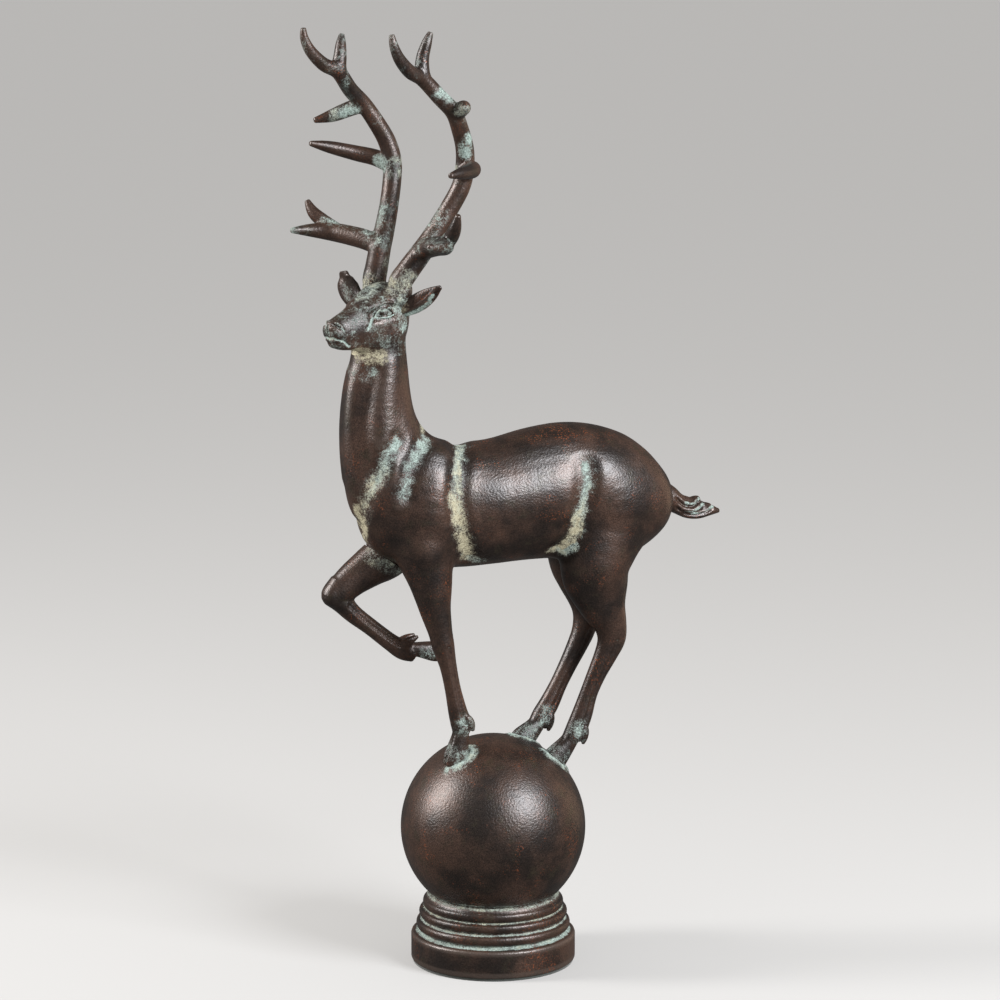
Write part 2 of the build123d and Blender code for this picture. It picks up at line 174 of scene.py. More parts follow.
def tinted(tree, amount, first, second):
    """The first colour turning to the second as the amount goes from 0 to 1."""
    made = node(tree, "ShaderNodeMix", data_type="RGBA")
    for socket, value in ((0, amount), (6, first), (7, second)):
        if isinstance(value, bpy.types.NodeSocket):
            tree.links.new(value, made.inputs[socket])
        else:
            made.inputs[socket].default_value = value
    return made.outputs[2]


def patina_group():
    """The statuette's finish as colour, roughness, metal and height from four masks."""
    group = bpy.data.node_groups.new("patina", "ShaderNodeTree")
    for name in ("Verdigris", "Cream", "Hollow", "Rust"):
        group.interface.new_socket(name, in_out="INPUT", socket_type="NodeSocketFloat")
    group.interface.new_socket("Color", in_out="OUTPUT", socket_type="NodeSocketColor")
    for name in ("Roughness", "Metallic", "Height"):
        group.interface.new_socket(name, in_out="OUTPUT", socket_type="NodeSocketFloat")
    taken = group.nodes.new("NodeGroupInput").outputs
    clouds = noise(group, 34, 5, 0.6)
    pebbles = noise(group, 820, 2, 0.55)
    specks = noise(group, 1100, 2, 0.5)
    crumbs = noise(group, 1000, 6, 0.82)
    streaks = noise(group, 170, 5, 0.65)

    brown = tinted(group, between(group, clouds, 0.36, 0.66), NEAR_BLACK, SOFT_BROWN)
    stale = between(group, noise(group, 90, 6, 0.72), 0.52, 0.68)
    brown = tinted(group, maths(group, "MULTIPLY", stale, 0.6), brown, OLIVE)
    mottle = between(group, noise(group, 1500, 4, 0.7), 0.32, 0.70)
    darker = tinted(group, mottle, (0.50, 0.48, 0.48, 1), (1.5, 1.42, 1.38, 1))
    metal = node(group, "ShaderNodeMix", data_type="RGBA", blend_type="MULTIPLY")
    metal.inputs[0].default_value = 1.0
    group.links.new(brown, metal.inputs[6])
    group.links.new(darker, metal.inputs[7])
    rubbed = maths(group, "MULTIPLY", between(group, taken["Hollow"], -0.25, -1.1), 0.45)
    patch = between(group, noise(group, 58, 3, 0.6), 0.50, 0.70)
    rust_here = maths(group, "MULTIPLY", between(group, specks, 0.55, 0.72), patch)
    rust_here = maths(group, "MULTIPLY", rust_here, taken["Rust"], clamp=True)
    bare = tinted(group, rubbed, metal.outputs[2], RUBBED)
    bare = tinted(group, rust_here, bare, RUST)

    # Verdigris stays where it was left and in every hollow, broken up by crumbs and streaks.
    pooled = maths(group, "MULTIPLY", between(group, taken["Hollow"], 0.15, 0.9), 0.45)
    wanted = maths(group, "ADD", taken["Verdigris"], pooled)
    broken = maths(group, "MULTIPLY", maths(group, "SUBTRACT", crumbs, 0.5), 2.6)
    worn = maths(group, "MULTIPLY", maths(group, "SUBTRACT", streaks, 0.5), 2.3)
    broken = maths(group, "ADD", broken, worn)
    crust = between(group, maths(group, "ADD", wanted, broken), 0.18, 1.02)
    crust = maths(group, "MULTIPLY", crust, between(group, wanted, 0.02, 0.40), clamp=True)
    warm = maths(group, "ADD", taken["Cream"], maths(group, "MULTIPLY", worn, 0.45))
    chalky = tinted(group, between(group, crumbs, 0.36, 0.62), GREEN_CRUST, PALE_GREEN)
    buff = tinted(group, between(group, crumbs, 0.34, 0.58), OCHRE_CRUST, CREAM_CRUST)
    chalky = tinted(group, between(group, warm, 0.15, 0.75), chalky, buff)

    given = group.nodes.new("NodeGroupOutput").inputs
    group.links.new(tinted(group, crust, bare, chalky), given["Color"])
    satin = maths(group, "ADD", maths(group, "MULTIPLY", mottle, 0.08), 0.34)
    dull = maths(group, "MULTIPLY", crust, 0.42)
    group.links.new(maths(group, "ADD", satin, dull, clamp=True), given["Roughness"])
    uncrusted = maths(group, "SUBTRACT", 1.0, crust, clamp=True)
    group.links.new(maths(group, "MULTIPLY", uncrusted, 0.30), given["Metallic"])
    lumps = maths(group, "MULTIPLY", maths(group, "MULTIPLY", crumbs, crust), 0.9)
    group.links.new(maths(group, "ADD", pebbles, lumps), given["Height"])
    return group


def bronze(name, rust):
    """A patinated bronze that reads the masks worked into its own piece."""
    material = bpy.data.materials.new(name)
    material.use_nodes = True
    tree = material.node_tree
    skin = node(tree, "ShaderNodeGroup", node_tree=bpy.data.node_groups["patina"])
    skin.inputs["Rust"].default_value = rust
    for mask in ("Verdigris", "Cream", "Hollow"):
        read = node(tree, "ShaderNodeAttribute", attribute_name=mask.lower())
        tree.links.new(read.outputs["Fac"], skin.inputs[mask])
    shader = tree.nodes["Principled BSDF"]
    tree.links.new(skin.outputs["Color"], shader.inputs["Base Color"])
    tree.links.new(skin.outputs["Roughness"], shader.inputs["Roughness"])
    tree.links.new(skin.outputs["Metallic"], shader.inputs["Metallic"])
    shader.inputs["Specular IOR Level"].default_value = 0.72
    inputs = {"Strength": 0.48, "Distance": 0.0005, "Height": skin.outputs["Height"]}
    bump = node(tree, "ShaderNodeBump", inputs)
    tree.links.new(bump.outputs["Normal"], shader.inputs["Normal"])
    return material


patina_group()
body_bronze = bronze("body_bronze", 1.0)


def filled(stations, steps):
    """More stations on a smooth curve through the given ones."""
    given = np.array(stations, float)
    reach = np.vstack([2 * given[0] - given[1], given, 2 * given[-1] - given[-2]])
    rows = []
    for a, b, c, d in zip(reach, reach[1:], reach[2:], reach[3:]):
        for t in np.arange(steps) / steps:
            bend = (2 * a - 5 * b + 4 * c - d) * t ** 2 + (3 * b - a - 3 * c + d) * t ** 3
            rows.append(0.5 * (2 * b + (c - a) * t + bend))
    rows.append(given[-1])
    return np.array(rows)


class Wax:
    """A skin of points in millimetres, worked by soft strokes and stained where verdigris sits."""

    def __init__(self, mesh):
        self.mesh = mesh
        self.count = len(mesh.vertices)
        points = np.empty(self.count * 3)
        mesh.vertices.foreach_get("co", points)
        self.points = points.reshape(-1, 3)
        pairs = np.empty(len(mesh.edges) * 2, int)
        mesh.edges.foreach_get("vertices", pairs)
        self.pairs = pairs.reshape(-1, 2)
        self.links = np.maximum(np.bincount(pairs, minlength=self.count), 1)
        self.verdigris = np.zeros(self.count)
        self.cream = np.zeros(self.count)

    def normals(self):
        """Which way is out at each point."""
        self.mesh.vertices.foreach_set("co", self.points.ravel())
        self.mesh.update()
        out = np.empty(self.count * 3)
        self.mesh.vertex_normals.foreach_get("vector", out)
        return out.reshape(-1, 3)

    def averaged(self, values):
        """The mean of each point's neighbours."""
        first, second = self.pairs.T
        columns = []
        for column in values.T:
            total = np.bincount(first, column[second], self.count)
            total += np.bincount(second, column[first], self.count)
            columns.append(total / self.links)
        return np.array(columns).T

    def relax(self, passes):
        """Smooth the skin all over."""
        for _ in range(passes):
            self.points += (self.averaged(self.points) - self.points) * 0.6

    def fillet(self, passes):
        """Fill the sharp inner corners, and leave what swells outwards alone."""
        normals = self.normals()
        for turn in range(passes):
            if turn % 10 == 9:
                normals = self.normals()
            pull = self.averaged(self.points) - self.points
            lift = np.clip((pull * normals).sum(1), 0, None)
            self.points += normals * (lift * 0.9)[:, None]

    def reach(self, path, width):
        """How near each point is to a path laid on the skin, from 1 to 0, and how far along it."""
        path = np.array(path, float).reshape(-1, 3)
        longest = 1.0
        if len(path) > 1:
            longest = np.linalg.norm(np.diff(path, axis=0), axis=1).max()
            path = filled(path, max(2, int(3 * longest / width)))
        margin = width + 6
        inside = (self.points > path.min(0) - margin) & (self.points < path.max(0) + margin)
        close = np.flatnonzero(inside.all(1))
        spots = self.points[close]
        gaps = np.linalg.norm(spots[:, None] - path[None], axis=2)
        laid = spots[gaps.argmin(0)]
        if len(laid) > 2:
            laid[1:-1] = (laid[:-2] + 2 * laid[1:-1] + laid[2:]) / 4
        gaps = np.linalg.norm(spots[:, None] - laid[None], axis=2)
        near = np.zeros(self.count)
        near[close] = np.clip(1 - (gaps.min(1) / width) ** 2, 0, None) ** 2
        pull = np.exp(-(gaps / width * 1.5) ** 2) + 1e-12
        along = np.zeros(self.count)
        along[close] = (pull * np.linspace(0, 1, len(laid))).sum(1) / pull.sum(1)
        return near, along

    def stroke(self, path, width, rise, taper=0.0):
        """Push the skin out along a path, or in where the rise is below nothing.

        The taper is the share of the path over which the stroke fades in and out again.
        """
        near, along = self.reach(path, width)
        if taper:
            near = near * np.clip(np.minimum(along, 1 - along) / taper, 0.0, 1.0)
        self.points += self.normals() * (near * rise)[:, None]

    def settle(self, points, out=0.0):
        """The nearest points of the skin, moved out along its normals."""
        normals = self.normals()
        laid = []
        for point in np.array(points, float):
            nearest = ((self.points - point) ** 2).sum(1).argmin()
            laid.append(tuple(self.points[nearest] + normals[nearest] * out))
        return laid

    def stain(self, path, width, amount=1.0, cream=(0.0, 0.0)):
        """Leave verdigris along a path, turning from the first creaminess to the second."""
        near, along = self.reach(path, width)
        near = np.sqrt(near) * amount
        tone = cream[0] + (cream[1] - cream[0]) * along
        stronger = near > self.verdigris
        self.cream = np.where(stronger, tone, self.cream)
        self.verdigris = np.maximum(self.verdigris, near)

    def hollows(self, passes, depth):
        """How far each point lies under its surroundings, over the depth that counts as deep."""
        smooth = self.points.copy()
        for _ in range(passes):
            smooth += (self.averaged(smooth) - smooth) * 0.8
        return ((smooth - self.points) * self.normals()).sum(1) / depth

    def cast(self, name, material, stands_for, cuts=(), passes=8, depth=0.25):
        """The finished piece: cut at its joints, with its masks, in metres, riding on the root."""
        hollow = self.hollows(passes, depth)
        for mask, values in (("verdigris", self.verdigris), ("cream", self.cream), ("hollow", hollow)):
            layer = self.mesh.attributes.new(mask, "FLOAT", "POINT")
            layer.data.foreach_set("value", values)
        bm = bmesh.new()
        bm.from_mesh(self.mesh)
        for point, away in cuts:
            trim(bm, point, away)
        bmesh.ops.scale(bm, vec=(METRES, METRES, METRES), verts=bm.verts)
        for face in bm.faces:
            face.smooth = True
        mesh = bpy.data.meshes.new(name)
        bm.to_mesh(mesh)
        bm.free()
        mesh.materials.append(material)
        piece = bpy.data.objects.new(name, mesh)
        bpy.context.collection.objects.link(piece)
        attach(piece, "root")
        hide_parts(stands_for)


def trim(bm, point, away):
    """Cut a shell with a plane, lose what lies away from it and close the flat face."""
    geometry = bm.verts[:] + bm.edges[:] + bm.faces[:]
    bmesh.ops.bisect_plane(bm, geom=geometry, plane_co=point, plane_no=away, clear_outer=True)
    rim = [edge for edge in bm.edges if edge.is_boundary]
    for edge in rim:
        edge.smooth = False
    bmesh.ops.holes_fill(bm, edges=rim)


def moulding(low, high, radius, swell):
    """Points up one rounded ring of the foot, from its low edge to its high one."""
    steps = 10
    turn = [math.pi * step / steps for step in range(steps + 1)]
    middle = (low + high) / 2
    return [(radius + swell * math.sin(t), middle - (high - middle) * math.cos(t)) for t in turn]


FOOT_RADIUS = 49.0
DRUM_TOP = 18.0
SEAT_RADIUS = 38.6
profile = [(0, 1.5), (FOOT_RADIUS - 1, 1.5)]
profile += [(FOOT_RADIUS - 0.3, 1.8), (FOOT_RADIUS, 2.6)]
profile += [(FOOT_RADIUS, 6), (FOOT_RADIUS, 10), (FOOT_RADIUS, 14), (FOOT_RADIUS, DRUM_TOP - 1.6)]
profile += [(FOOT_RADIUS - 0.4, DRUM_TOP - 0.5), (FOOT_RADIUS - 1.5, DRUM_TOP), (44.8, DRUM_TOP + 0.5)]
profile += [(44.3, DRUM_TOP + 1.4)]
profile += moulding(20.2, 25.6, 44.2, 1.7)
profile += [(42.9, 26.3), (42.9, 27.0)]
profile += moulding(27.6, 32.2, 42.7, 1.5)
profile += [(41.2, 32.8)]
profile += moulding(33.4, 38.4, 40.6, 1.3)
profile += [(39.8, 39.6), (39.0, 40.8), (SEAT_RADIUS, 41.4), (0, 41.4)]
bm = bmesh.new()
corners = [bm.verts.new((radius, 0, height)) for radius, height in profile]
outline = [bm.edges.new(pair) for pair in zip(corners, corners[1:])]
bmesh.ops.spin(
    bm, geom=corners + outline, cent=(0, 0, 0), axis=(0, 0, 1), angle=math.tau, steps=256, use_merge=True
)
bmesh.ops.remove_doubles(bm, verts=bm.verts, dist=0.001)
bmesh.ops.recalc_face_normals(bm, faces=bm.faces)
mesh = bpy.data.meshes.new("plinth_wax")
bm.to_mesh(mesh)
bm.free()
plinth = Wax(mesh)


def hoop(radius, height):
    """A level circle round the middle, as a path."""
    turns = [math.tau * step / 48 for step in range(49)]
    return [(radius * math.cos(t), radius * math.sin(t), height) for t in turns]


plinth.stain(hoop(46, 18.4), 2.2, 0.55, (0.2, 0.2))
plinth.stain(hoop(43, 26.6), 1.3, 0.45, (0.3, 0.3))
plinth.stain(hoop(41.5, 32.9), 1.3, 0.50, (0.4, 0.4))
plinth.stain(hoop(39, 40.9), 1.5, 0.70, (0.3, 0.3))
plinth.cast("foot_casting", body_bronze, "plinth", passes=3, depth=0.4)

# ---- felt pad: a disc of dark felt glued under the foot so that it doesn't scratch ----
# The CAD pad keeps its own shape and takes a matted, fibrous wool finish.
felt = bpy.data.materials.new("felt")
felt.use_nodes = True
tree = felt.node_tree
fibres = noise(tree, 1800, 4, 0.7)
wool = tree.nodes["Principled BSDF"]
woollen = tinted(tree, fibres, (0.010, 0.012, 0.010, 1), (0.05, 0.055, 0.048, 1))
tree.links.new(woollen, wool.inputs["Base Color"])
wool.inputs["Roughness"].default_value = 0.95
wool.inputs["Sheen Weight"].default_value = 0.4
matted = node(tree, "ShaderNodeBump", {"Strength": 0.6, "Distance": 0.0003, "Height": fibres})
tree.links.new(matted.outputs["Normal"], wool.inputs["Normal"])
felt_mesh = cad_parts["felt_pad"].data
felt_mesh.materials.clear()
felt_mesh.materials.append(felt)

# ---- ball: a hollow cast bronze ball that the stag stands on, seated on the foot's rim ----
# Its surface is slightly uneven from casting, and crusted where the hooves are soldered down.
BALL_RADIUS = 55.0
BALL_CENTRE = np.array([0.0, 0.0, 82.0])
SEAT_HEIGHT = 41.5
bm = bmesh.new()
lift = Matrix.Translation(BALL_CENTRE)
bmesh.ops.create_icosphere(bm, subdivisions=7, radius=BALL_RADIUS, matrix=lift)
trim(bm, (0, 0, SEAT_HEIGHT), (0, 0, -1))
mesh = bpy.data.meshes.new("ball_wax")
bm.to_mesh(mesh)
bm.free()
ball = Wax(mesh)


def on_ball(path):
    """The path's points moved straight out or in to the ball's surface."""
    way = np.array(path, float) - BALL_CENTRE
    return BALL_CENTRE + way / np.linalg.norm(way, axis=1)[:, None] * BALL_RADIUS


FORE_PAD = on_ball([(-33, -14, 122), (-31, -17, 126), (-25, -19, 128), (-18, -14, 132), (-19, -8, 134)])
HIND_PAD = on_ball([(26, -12, 127), (30, -16, 123), (37, -15, 119), (43, -11, 116), (42, -6, 116)])
FAR_PAD = on_ball([(12, 4, 135), (17, 1, 133), (25, 3, 130), (31, 7, 126), (27, 12, 127)])
for pad in (FORE_PAD, HIND_PAD, FAR_PAD):
    ball.stroke(pad, 4.0, 0.9)
    ball.stroke(pad, 1.8, 0.4)
    ball.stain(pad, 3.6, 1.0, (0.15, 0.3))
    ball.stain(pad, 6.5, 0.42, (0.2, 0.2))
ball.stain(hoop(38.4, 42.3), 1.8, 0.6, (0.2, 0.2))
ball.cast("ball_casting", body_bronze, "ball")

# ---- fixings: the parts inside that hold the casting together, out of sight ----
# A plated steel tie rod clamps ball to foot on a bar; bronze dowels and studs hold the limbs.
dull_metal = bpy.data.node_groups.new("scuffs", "ShaderNodeTree")
dull_metal.interface.new_socket("Scuffs", in_out="OUTPUT", socket_type="NodeSocketFloat")
scuffed = between(dull_metal, noise(dull_metal, 300, 6, 0.7), 0.3, 0.75)
dull_metal.links.new(scuffed, dull_metal.nodes.new("NodeGroupOutput").inputs["Scuffs"])


def plain_metal(name, clean, worn, roughness):
    """A bare metal, streaked from clean to worn."""
    material = bpy.data.materials.new(name)
    material.use_nodes = True
    tree = material.node_tree
    scuffs = node(tree, "ShaderNodeGroup", node_tree=dull_metal).outputs["Scuffs"]
    shader = tree.nodes["Principled BSDF"]
    tree.links.new(tinted(tree, scuffs, clean, worn), shader.inputs["Base Color"])
    rough = maths(tree, "ADD", maths(tree, "MULTIPLY", scuffs, 0.25), roughness)
    tree.links.new(rough, shader.inputs["Roughness"])
    shader.inputs["Metallic"].default_value = 1.0
    return material


steel = plain_metal("plated_steel", (0.62, 0.63, 0.62, 1), (0.42, 0.41, 0.38, 1), 0.25)
raw_bronze = plain_metal("raw_bronze", (0.55, 0.33, 0.15, 1), (0.30, 0.18, 0.09, 1), 0.32)
STEEL_PARTS = ("bridge_bar", "tie_rod", "tie_rod_nuts", "tie_rod_washers", "hoof_nuts", "hoof_washers")
BRONZE_PARTS = ("hoof_studs", "leg_pins", "neck_pin", "tail_pin", "antler_pins")
for names, metal in ((STEEL_PARTS, steel), (BRONZE_PARTS, raw_bronze)):
    for name in names:
        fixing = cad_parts[name].data
        fixing.materials.clear()
        fixing.materials.append(metal)

# ---- torso: the stag's barrel, chest, haunches and neck, one hollow casting ----
# It is modelled in wax with the tops of the legs, so that each leg's joint closes without a step.
GRAIN = 0.85
LEG_JOINT = 236.0
NECK_JOINT = 370.0
ARM_JOINT = (-63.0, 0.0, 246.5)
ARM_JOINT_WAY = (0.59, 0.0, 0.81)
TRUNK = [
    (110.5, 283, 109.5, 262, 10.5),
    (108.0, 289, 105.5, 256, 16.5),
    (102.5, 296.5, 99.5, 250.5, 22.0),
    (94.0, 305.5, 91.5, 245, 26.0),
    (81.0, 314.5, 82.0, 240.5, 29.0),
    (62.0, 321, 66.0, 240, 30.5),
    (42.0, 323, 46.0, 242, 30.0),
    (20.0, 320.5, 22.0, 242.5, 29.5),
    (-3.0, 315.5, -2.0, 241.5, 29.5),
    (-22.0, 315.5, -24.0, 241, 29.0),
    (-36.0, 319, -50.0, 243.5, 28.0),
    (-43.5, 325, -74.0, 254.0, 26.0),
    (-48.0, 332, -86.5, 275, 23.5),
    (-50.5, 340, -91.5, 300, 21.0),
    (-52.0, 350, -92.8, 325, 18.5),
    (-53.0, 361, -91.0, 347, 16.5),
    (-54.0, 372, -87.5, 364, 14.5),
    (-54.5, 386, -84.0, 383, 13.5),
]
LEFT_FORELEG = [
    (-50, -12, 266, 20.0, 13.0),
    (-47, -13, 252, 17.0, 13.0),
    (-44, -13.5, 239, 13.8, 11.5),
    (-42.4, -14, 229, 11.5, 9.8),
    (-40.8, -14, 219, 9.4, 8.2),
    (-37.6, -14, 205, 7.2, 6.6),
    (-36.0, -14, 197, 6.8, 6.4),
    (-33.0, -14, 185, 5.2, 5.0),
    (-30.0, -13.5, 171, 4.9, 4.7),
    (-26.8, -13, 157, 5.8, 5.2),
    (-24.6, -13, 149, 6.4, 5.6),
    (-24.8, -12.5, 142, 4.6, 4.8),
]
LEFT_HIND_LEG = [
    (67, -14, 266, 29.0, 14.0),
    (61.5, -14, 250, 24.5, 14.5),
    (59, -14, 236, 21.2, 14.0),
    (61.5, -13.5, 225, 18.8, 12.5),
    (65, -13, 213, 14.2, 10.2),
    (69.5, -12.5, 202, 10.2, 8.0),
    (70.5, -12, 193, 8.8, 6.8),
    (67.3, -11.5, 184, 7.2, 6.0),
    (61.5, -11, 172, 5.9, 5.2),
    (56.5, -10.5, 160, 5.5, 4.9),
    (52.5, -10.5, 148, 6.4, 5.4),
    (48.5, -10.5, 139, 6.4, 5.6),
    (43.5, -10.5, 132, 4.8, 5.0),
]
RIGHT_HIND_LEG = [
    (66, 14, 266, 29.0, 14.0),
    (61.5, 14, 250, 24.0, 14.5),
    (60, 14, 236, 19.0, 14.0),
    (61.5, 13.5, 225, 15.2, 12.0),
    (63.5, 13, 214, 11.4, 9.8),
    (64.0, 12.5, 204, 8.4, 7.8),
    (62.0, 12, 194, 7.2, 6.6),
    (57.5, 12, 184, 6.3, 6.0),
    (51.5, 11.5, 173, 5.6, 5.2),
    (45.5, 11, 162, 5.4, 4.9),
    (39.5, 10.5, 151, 6.2, 5.4),
    (34.5, 10, 144, 6.2, 5.6),
    (29.5, 9, 138, 4.8, 4.8),
]
RIGHT_UPPER_ARM = [
    (-50, 12, 262, 17.0, 12.5),
    (-61, 13, 248.5, 14.5, 12.0),
    (-72, 13.5, 241.5, 12.0, 10.5),
    (-82, 14, 235, 10.2, 9.0),
    (-90, 14, 228.5, 8.8, 8.0),
    (-97, 14, 223, 6.5, 6.5),
]


def placed(centre, side, depth, way):
    """The matrix that lays a unit circle down as an ellipse."""
    columns = (Vector(side), Vector(depth), Vector(way))
    matrix = Matrix.Identity(4)
    for index, column in enumerate(columns):
        matrix.col[index][:3] = column
    matrix.translation = Vector(centre)
    return matrix


def tube(bm, places):
    """A closed shell through unit circles, each laid down by its matrix."""
    start = bmesh.ops.create_circle(bm, cap_ends=True, segments=36, radius=1, matrix=places[0])
    edges = list({edge for vert in start["verts"] for edge in vert.link_edges})
    for before, after in zip(places, places[1:]):
        grown = bmesh.ops.extrude_edge_only(bm, edges=edges)["geom"]
        verts = {part for part in grown if isinstance(part, bmesh.types.BMVert)}
        edges = [part for part in grown if isinstance(part, bmesh.types.BMEdge)]
        edges = [edge for edge in edges if verts.issuperset(edge.verts)]
        bmesh.ops.transform(bm, matrix=after @ before.inverted(), verts=list(verts))
    bmesh.ops.contextual_create(bm, geom=edges)


def limb(bm, stations, across=(0, 1, 0), steps=5):
    """A closed tube through ellipses square to its centre line.

    Each station is (x, y, z, half depth, half width), and the width runs along across.
    """
    rows = filled(stations, steps)
    across = Vector(across)
    places = []
    for index, row in enumerate(rows):
        ahead = rows[min(index + 1, len(rows) - 1)][:3]
        behind = rows[max(index - 1, 0)][:3]
        way = Vector(ahead - behind).normalized()
        side = (across - way * across.dot(way)).normalized()
        places.append(placed(row[:3], side * row[4], way.cross(side) * row[3], way))
    tube(bm, places)


def fuse(bm, grain):
    """One skin round all the overlapping shells, as wax runs together."""
    bmesh.ops.recalc_face_normals(bm, faces=bm.faces)
    mesh = bpy.data.meshes.new("shells")
    bm.to_mesh(mesh)
    bm.free()
    lump = bpy.data.objects.new("shells", mesh)
    bpy.context.collection.objects.link(lump)
    remesh = lump.modifiers.new("fuse", "REMESH")
    remesh.mode = "VOXEL"
    remesh.voxel_size = grain
    settled = lump.evaluated_get(bpy.context.evaluated_depsgraph_get())
    skin = bpy.data.meshes.new_from_object(settled)
    bpy.data.objects.remove(lump)
    bpy.data.meshes.remove(mesh)
    return skin


def both_sides(path):
    """A path drawn on the left side, and the same on the right."""
    path = np.array(path, float)
    return path, path * (1, -1, 1)


bm = bmesh.new()
limb(bm, RIGHT_UPPER_ARM)
trim(bm, ARM_JOINT, [-part for part in ARM_JOINT_WAY])
places = []
for back_x, back_z, belly_x, belly_z, half_width in filled(TRUNK, 4):
    back = Vector((back_x, 0, back_z))
    belly = Vector((belly_x, 0, belly_z))
    rise = (back - belly).normalized()
    half_depth = (back - belly).length / 2
    across = Vector((0, 1, 0))
    places.append(placed((back + belly) / 2, across * half_width, rise * half_depth, across.cross(rise)))
tube(bm, places)
for stations in (LEFT_FORELEG, LEFT_HIND_LEG, RIGHT_HIND_LEG):
    limb(bm, stations)
stag = Wax(fuse(bm, GRAIN))
stag.fillet(70)
stag.relax(6)

NECK_BAND = [
    (-66, -21, 321), (-72, -21, 312), (-77, -20, 302), (-81, -17, 292), (-84, -12, 283),
    (-84.5, -8, 275), (-83.5, -2, 268),
]
WITHERS_BAND = [(-45, -12, 321), (-50, -17, 317), (-55, -21, 312), (-60, -24, 303), (-65, -24, 291)]
GIRTH_BAND = [
    (-21, -4, 314.5), (-25, -13, 311.5), (-30, -22, 303), (-32, -25, 295), (-33, -28, 286),
    (-31, -27, 275), (-28, -26, 264), (-22.5, -20, 251),
]
FLANK_BAND = [
    (48, -26, 301), (48, -28, 293), (46.5, -29.6, 286), (45, -29, 277), (43, -28, 269),
    (42, -24, 260), (37, -18, 251),
]
SHOULDER = [(-39, -19, 309), (-42, -24, 298), (-46, -27, 287), (-48, -26, 272), (-49, -26, 261)]
THIGH = [(60, -27, 298), (66, -30, 286), (70, -29, 274), (66, -28, 256), (62, -28, 242)]
NECK_VALLEY = [(-79, -14, 360), (-82.5, -14, 345), (-84.5, -14, 328), (-83, -16, 311), (-82, -18, 300)]
NECK_CORD = [(-67, -14, 365), (-70, -17, 351), (-73, -18, 337), (-74, -20, 323)]
for path, width, rise in (
    (SHOULDER, 17, 3.0),
    (THIGH, 24, 2.4),
    (NECK_VALLEY, 9, -2.6),
    (NECK_CORD, 11, 1.5),
    ([(-88, -4, 359), (-90.5, -5, 339), (-92, -5, 318), (-90, -6, 298)], 7, 0.9),
    ([(-70, -22, 312), (-68, -24, 300), (-66, -24, 285)], 8, 1.2),
    (NECK_BAND, 9, -1.8),
    (WITHERS_BAND, 9, -1.7),
    (GIRTH_BAND, 10, -2.2),
    (FLANK_BAND, 11, -2.4),
    ([(-2, -28, 285), (14, -29, 284), (30, -29, 285)], 22, 1.4),
):
    for side in both_sides(path):
        stag.stroke(side, width, rise)
stag.relax(5)
BANDS = (
    (NECK_BAND, 4.2, 0.66, (0.0, 0.8)),
    (NECK_BAND, 9.5, 0.30, (0.0, 0.5)),
    (NECK_BAND[1:4], 7.0, 0.56, (0.1, 0.6)),
    (WITHERS_BAND, 4.2, 0.46, (0.2, -0.1)),
    (WITHERS_BAND[:3], 6.2, 0.66, (0.2, -0.1)),
    (WITHERS_BAND, 9.0, 0.28, (0.0, 0.0)),
    (GIRTH_BAND, 4.4, 0.85, (0.3, 0.8)),
    (GIRTH_BAND[3:], 6.4, 0.75, (0.4, 0.8)),
    (GIRTH_BAND, 9.5, 0.30, (0.0, 0.3)),
    (FLANK_BAND, 4.0, 0.80, (0.0, 0.8)),
    (FLANK_BAND[3:], 6.0, 0.72, (0.3, 0.8)),
    (FLANK_BAND, 9.5, 0.30, (0.0, 0.3)),
)
for path, width, amount, cream in BANDS:
    for side in both_sides(path):
        stag.stain(side, width, amount, cream)
for path in (
    [(-24, -24, 249), (-20, -20, 246), (-12, -16, 244)],
    [(30, -20, 248), (37, -19, 249), (42, -22, 252)],
    [(-45, -8, 326), (-46, 0, 328)],
    [(-21, -4, 315), (-20, 0, 316)],
):
    for side in both_sides(path):
        stag.stain(side, 4.5, 0.7, (0.6, 0.2))
for side in both_sides([(-86, -6, 361), (-80, -12, 361)]):
    stag.stain(side, 9, 0.32, (0.2, 0.0))
stag.stain([(-89, -10, 371), (-81, -14, 370), (-73, -14, 369)], 6.0, 0.75, (0.9, 0.7))
stag.stain([(-86, -7, 280), (-83, -6, 270), (-79, 0, 262)], 5.5, 0.9, (0.8, 0.8))
body_mesh = stag.mesh.copy()
stag.cast(
    "torso_casting", body_bronze, "torso",
    cuts=(((0, 0, LEG_JOINT), (0, 0, -1)), ((0, 0, NECK_JOINT), (0, 0, 1))),
)

# ---- legs on the ball: three slim castings with cloven hooves, doweled up into the body ----
# Each is cut level at its joint and soldered down on the ball over a stud.
FINE_GRAIN = 0.45


def hoof(bm, fetlock, sole, toe, across, size=1.0):
    """Two toes side by side from the fetlock down to the sole, with two dewclaws behind."""
    fetlock = Vector(fetlock)
    sole = Vector(sole)
    down = (sole - fetlock).normalized()
    toe = Vector(toe).normalized()
    across = Vector(across)
    for side in (-1, 1):
        spread = across * side
        stations = []
        for share, ahead, apart, depth, width in (
            (0.18, -0.4, 1.0, 4.4, 3.6),
            (0.50, 0.2, 1.9, 5.0, 3.5),
            (0.78, 1.2, 2.6, 5.9, 3.6),
            (1.00, 2.0, 2.9, 6.6, 3.6),
            (1.25, 2.4, 2.9, 6.6, 3.4),
        ):
            centre = fetlock + (sole - fetlock) * share + (toe * ahead + spread * apart) * size
            stations.append((*centre, depth * size, width * size))
        limb(bm, stations, across)
        claw = []
        for back, drop, radius in ((1.6, -4.0, 2.4), (4.4, 0.0, 2.9), (6.6, 4.4, 2.4), (8.4, 8.6, 0.9)):
            centre = fetlock - toe * back + down * drop + spread * 3.1
            claw.append((*centre, radius, radius * 0.85))
        limb(bm, claw, across)


